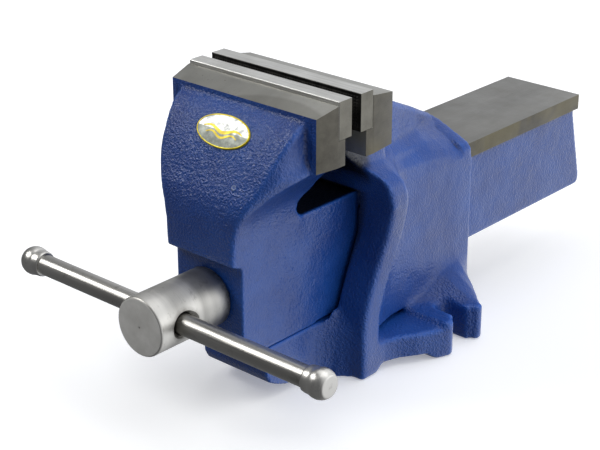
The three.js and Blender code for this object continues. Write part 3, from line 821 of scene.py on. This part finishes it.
def faced_steel():
    """The head's end: fine rings cut by a facing tool."""
    m = Maker("faced_steel")
    rings = m.math("SINE", m.math("MULTIPLY", m.distance((0, HEAD_FRONT, AXIS_Z)), 9000.0))
    colour = m.mix(m.ramp(m.noise(80, 3), 0.3, 0.7), linear("DCDAD4"), linear("EEECE7"))
    normal = m.bump(rings, 0.25, 0.0001)
    rough = m.ramp(m.noise(120, 3), 0.3, 0.7, 0.40, 0.52)
    return m.finish(Base_Color=colour, Metallic=0.35, Roughness=rough, Normal=normal)


def dark_steel(name="oiled_dark_steel", dark="2B2A28", light="45433F", metal=0.8):
    m = Maker(name)
    colour = m.mix(m.ramp(m.noise(130, 4, 0.6), 0.35, 0.65), linear(dark), linear(light))
    normal = m.bump(m.noise(500, 3), 0.2, 0.0003)
    rough = m.ramp(m.noise(90, 3), 0.3, 0.7, 0.38, 0.55)
    return m.finish(Base_Color=colour, Metallic=metal, Roughness=rough, Normal=normal)


def badge_finish(name, dark, light, metal, rough):
    m = Maker(name)
    colour = m.mix(m.ramp(m.noise(240, 4, 0.6), 0.4, 0.65), linear(dark), linear(light))
    normal = m.bump(m.noise(600, 2), 0.12, 0.0003)
    return m.finish(Base_Color=colour, Metallic=metal, Normal=normal,
                    Roughness=m.ramp(m.noise(150, 3), 0.3, 0.7, rough, rough + 0.15))


def wear_materials(obj, *materials):
    """Gives the object its materials; each face keeps its place in the list."""
    faces = obj.data.polygons
    index = np.zeros(len(faces), np.int32)
    faces.foreach_get("material_index", index)
    obj.data.materials.clear()
    for material in materials:
        obj.data.materials.append(material)
    faces.foreach_set("material_index", np.minimum(index, len(materials) - 1))
    return obj


# ---- assembly ----------------------------------------------------------------------------------
def place(obj, body, slot, *nodes):
    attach(obj, body)
    if nodes:
        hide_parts(*nodes)


PAINT, MACHINED, PLATE = paint(), machined(), plate_steel()
WAY_IRON = machined("slide_way_iron", ("6C6B67", "858480"))
BAR_STEEL = turned_steel("bar_steel", "lengthwise", 700.0, "A5A39E", "D2D0CB")
KNOB_STEEL = turned_steel("knob_steel", "x", 900.0, "A5A39E", "CFCDC8")
# The head steel is darker round both bar holes and towards the head's rear end.
HEAD_STEEL = turned_steel("head_steel", "y", 1300.0, "9C9A95", "D0CEC8", (
    ((HEAD_R, BAR_Y, AXIS_Z), 9.5, 5), ((-HEAD_R, BAR_Y, AXIS_Z), 9.5, 5),
    ((0, HEAD_BACK + 16, AXIS_Z), 29, 5)), rough=(0.36, 0.50))
DARK = dark_steel()
FACED = faced_steel()

fixed_casting = cast_piece("fixed_casting", "fixed_body", fixed_weight, fixed_hollows, tuck_fixed,
                           fixed_painted_shade, 4)
wear_materials(fixed_casting, PAINT)
place(fixed_casting, "body", "casting", "fixed_body")

sliding_casting = cast_piece("sliding_casting", "sliding_jaw", sliding_weight, sliding_hollows,
                             tuck_sliding, sliding_painted_shade, 3)
wear_materials(sliding_casting, PAINT)
place(sliding_casting, "slide", "casting", "sliding_jaw")

fixed_block = jaw_block("fixed_machined_block", FIXED_FACE, PLATE_T, FIXED_FREE, FIXED_TOPS)
wear_materials(fixed_block, MACHINED, PAINT)
place(fixed_block, "body", "jaw_steel")

sliding_block = jaw_block("sliding_machined_block", SLIDING_FACE, -REST_GAP - PLATE_T,
                          SLIDING_FREE, SLIDING_TOPS)
wear_materials(sliding_block, MACHINED, PAINT)
place(sliding_block, "slide", "jaw_steel")

way = wear_materials(slide_way(), WAY_IRON)
place(way, "slide", "jaw_steel")

fixed_plate = wear_materials(serrated_plate("fixed_serrated_plate", 0.0, 1), PLATE, DARK)
place(fixed_plate, "body", "jaw_steel", "fixed_jaw_plate")
sliding_plate = wear_materials(serrated_plate("sliding_serrated_plate", -REST_GAP, -1),
                               PLATE, DARK)
place(sliding_plate, "slide", "jaw_steel", "sliding_jaw_plate")

head = wear_materials(screw_head(), HEAD_STEEL, FACED)
for polygon in head.data.polygons:
    if polygon.normal.y < -0.9:
        polygon.material_index = 1
place(head, "spindle", "turned_steel", "screw_head")
screw = wear_materials(threaded_screw(), HEAD_STEEL)
place(screw, "spindle", "turned_steel", "main_screw")
washer = ring_body("thrust_washer_turned", SCREW_R + 0.3, 18, HEAD_BACK + 0.3, -80.1)
wear_materials(washer, DARK)
place(washer, "spindle", "black_steel", "thrust_washer")

place(wear_materials(bar(), BAR_STEEL), "handle", "turned_steel", "tommy_bar")
for side, label in ((-1, "left"), (1, "right")):
    place(wear_materials(knob(side), KNOB_STEEL), "handle", "turned_steel", f"bar_knob_{label}")

oval = wear_materials(badge(), badge_finish("badge_rim", "B5A21C", "DCCB35", 0.6, 0.28),
                      badge_finish("badge_bright", "8C8E8C", "DAD9D2", 0.7, 0.3),
                      badge_finish("badge_grey", "6C7068", "8B8F86", 0.6, 0.3))
place(oval, "slide", "badge", "maker_badge")
place(wear_materials(badge_motif(), badge_finish("badge_mark", "B8A020", "DCC93A", 0.4, 0.3)),
      "slide", "badge")

CAD_FINISH = {
    "retaining_collar": HEAD_STEEL,
    "main_nut": dark_steel("nut_bronze", "6B5227", "94743A", 0.85),
}
CAD_FINISH.update({node_name: DARK for node_name in (
    "head_pin", "collar_pin", "spring_washer", "take_up_spring", "nut_bolt", "nut_bolt_washer",
    "fixed_plate_screw_left", "fixed_plate_screw_right", "sliding_plate_screw_left",
    "sliding_plate_screw_right")})
for node_name, material in CAD_FINISH.items():
    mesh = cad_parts[node_name].data
    for k in range(len(mesh.materials)):
        mesh.materials[k] = material


# ---- stage, light and camera -------------------------------------------------------------------
FLOOR_HALF, FLOOR_DROP = 6, 0.0004          # metres


def floor():
    """A white ground that glows a little, so it stays pale without lighting the vise from below."""
    h = FLOOR_HALF
    mesh = bpy.data.meshes.new("floor")
    mesh.from_pydata([(-h, -h, 0), (h, -h, 0), (h, h, 0), (-h, h, 0)], [], [[0, 1, 2, 3]])
    obj = new_object("floor", mesh)
    obj.location.z = -FLOOR_DROP
    m = Maker("pale_floor")
    colour = m.mix(m.ramp(m.noise(3, 2), 0.3, 0.7), linear("F4F4F4"), linear("F8F8F8"))
    wear_materials(obj, m.finish(Base_Color=colour, Roughness=0.9, Specular_IOR_Level=0.1,
                                 Emission_Color=linear("FFFFFF"), Emission_Strength=0.28))
    obj.visible_diffuse = False
    obj.visible_glossy = False


def area_light(name, where, towards, size, power):
    data = bpy.data.lights.new(name, "AREA")
    data.shape = "RECTANGLE"
    data.size, data.size_y = size
    data.energy = power
    obj = bpy.data.objects.new(name, data)
    scene.collection.objects.link(obj)
    obj.location = where
    obj.rotation_euler = (Vector(towards) - Vector(where)).to_track_quat("-Z", "Y").to_euler()


floor()
area_light("top_light", (0.15, 0.25, 1.7), (0.0, 0.0, 0.1), (1.7, 1.5), 7)
area_light("right_light", (1.5, 0.9, 0.55), (0.0, 0.0, 0.1), (1.3, 0.9), 3)
area_light("sheen_light", (-1.34, -1.2, 1.62), (0.0, -0.15, 0.2), (1.2, 0.8), 20)


BRIGHT_SIDE = (0.58, 0.78, 0.22)


def studio_world():
    """Soft light that is bright from the right and rear and dim from the front left."""
    world = bpy.data.worlds.new("studio")
    world.use_nodes = True
    tree = world.node_tree
    along = tree.nodes.new("ShaderNodeVectorMath")
    along.operation = "DOT_PRODUCT"
    along.inputs[1].default_value = BRIGHT_SIDE
    tree.links.new(tree.nodes.new("ShaderNodeTexCoord").outputs["Generated"], along.inputs[0])
    level = tree.nodes.new("ShaderNodeMapRange")
    level.interpolation_type = "SMOOTHSTEP"
    spread = {"From Min": -0.35, "From Max": 0.85, "To Min": 0.16, "To Max": 1.22}
    for key, value in spread.items():
        level.inputs[key].default_value = value
    tree.links.new(along.outputs["Value"], level.inputs["Value"])
    background = tree.nodes["Background"]
    background.inputs["Color"].default_value = (0.94, 0.96, 1.0, 1.0)
    tree.links.new(level.outputs[0], background.inputs["Strength"])
    scene.world = world


studio_world()
scene.view_settings.view_transform = "Standard"

CAMERA_PLACE = (0.76451, -0.94235, 0.61656)
YAW, PITCH_DOWN = math.radians(41.61), math.radians(23.54)
camera_data = bpy.data.cameras.new("camera")
camera_data.lens, camera_data.sensor_width = 96, 36
camera = bpy.data.objects.new("camera", camera_data)
scene.collection.objects.link(camera)
camera.location = CAMERA_PLACE
look = Vector((-math.sin(YAW) * math.cos(PITCH_DOWN), math.cos(YAW) * math.cos(PITCH_DOWN),
               -math.sin(PITCH_DOWN)))
camera.rotation_euler = look.to_track_quat("-Z", "Y").to_euler()
scene.camera = camera

bpy.context.view_layer.update()
